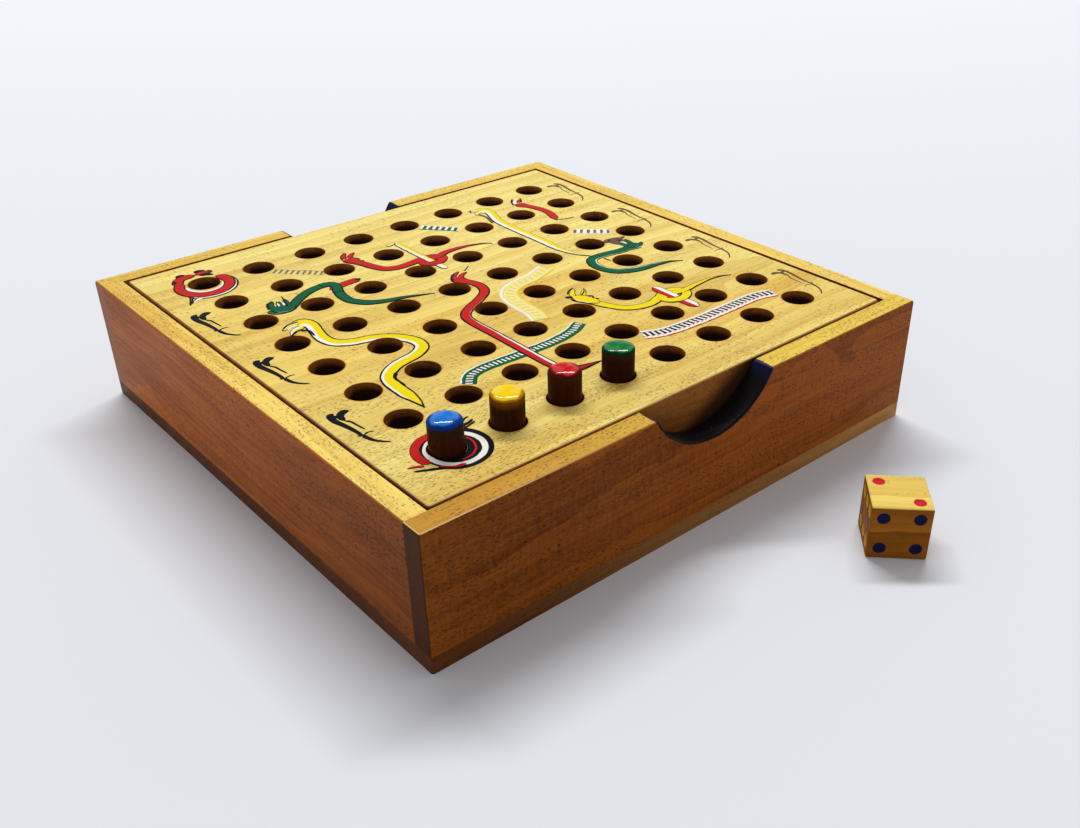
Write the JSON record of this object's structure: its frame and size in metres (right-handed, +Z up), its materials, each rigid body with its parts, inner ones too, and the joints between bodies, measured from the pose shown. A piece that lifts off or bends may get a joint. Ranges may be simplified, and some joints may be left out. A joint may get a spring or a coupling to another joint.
{
  "type": "wooden snakes and ladders board",
  "caption": "Square wooden travel game box closed by a thick drilled snakes and ladders board that lifts out by finger notches, with pegs and a die.",
  "frame": {"origin": "centre of the box's underside, on the table it stands on", "axes": "+Z up; X runs along the notched front wall, and the front, where the pegs and the die are, is at -Y"},
  "size_m": [0.18, 0.2305, 0.049],
  "materials": {
    "panel_wood": "thin satin varnish on a brown panel",
    "wall_wood": "satin varnish on orange brown wood with fine dark pores",
    "block_wood": "bare sawn wood",
    "board_wood": "satin varnish on honey yellow wood with fine dark pores and hand painted figures",
    "blue_paint": "dark brown dowel with a glossy blue painted cap",
    "yellow_paint": "dark brown dowel with a glossy yellow painted cap",
    "red_paint": "dark brown dowel with a glossy red painted cap",
    "green_paint": "dark brown dowel with a glossy green painted cap",
    "die_wood": "bare light wood with painted pips"
  },
  "bodies": {
    "box": {"bottom_panel": "panel_wood", "front_wall": "wall_wood", "back_wall": "wall_wood", "left_wall": "wall_wood", "right_wall": "wall_wood", "corner_block_front_left": "block_wood", "corner_block_front_right": "block_wood", "corner_block_back_left": "block_wood", "corner_block_back_right": "block_wood"},
    "board": {"playing_board": "board_wood"},
    "blue_peg": {"blue_peg": "blue_paint"},
    "yellow_peg": {"yellow_peg": "yellow_paint"},
    "red_peg": {"red_peg": "red_paint"},
    "green_peg": {"green_peg": "green_paint"},
    "die": {"die": "die_wood"}
  },
  "joints": [
    {"name": "board_lift", "type": "slide", "parent": "box", "child": "board", "axis": [0, 0, 1], "range_m": [0, 0.06]},
    {"name": "blue_peg_pull", "type": "slide", "parent": "board", "child": "blue_peg", "axis": [0, 0, 1], "range_m": [0, 0.03]},
    {"name": "yellow_peg_pull", "type": "slide", "parent": "board", "child": "yellow_peg", "axis": [0, 0, 1], "range_m": [0, 0.03]},
    {"name": "red_peg_pull", "type": "slide", "parent": "board", "child": "red_peg", "axis": [0, 0, 1], "range_m": [0, 0.03]},
    {"name": "green_peg_pull", "type": "slide", "parent": "board", "child": "green_peg", "axis": [0, 0, 1], "range_m": [0, 0.03]},
    {"name": "die_pick_up", "type": "slide", "parent": "box", "child": "die", "axis": [0, 0, 1], "range_m": [0, 0.06]}
  ]
}
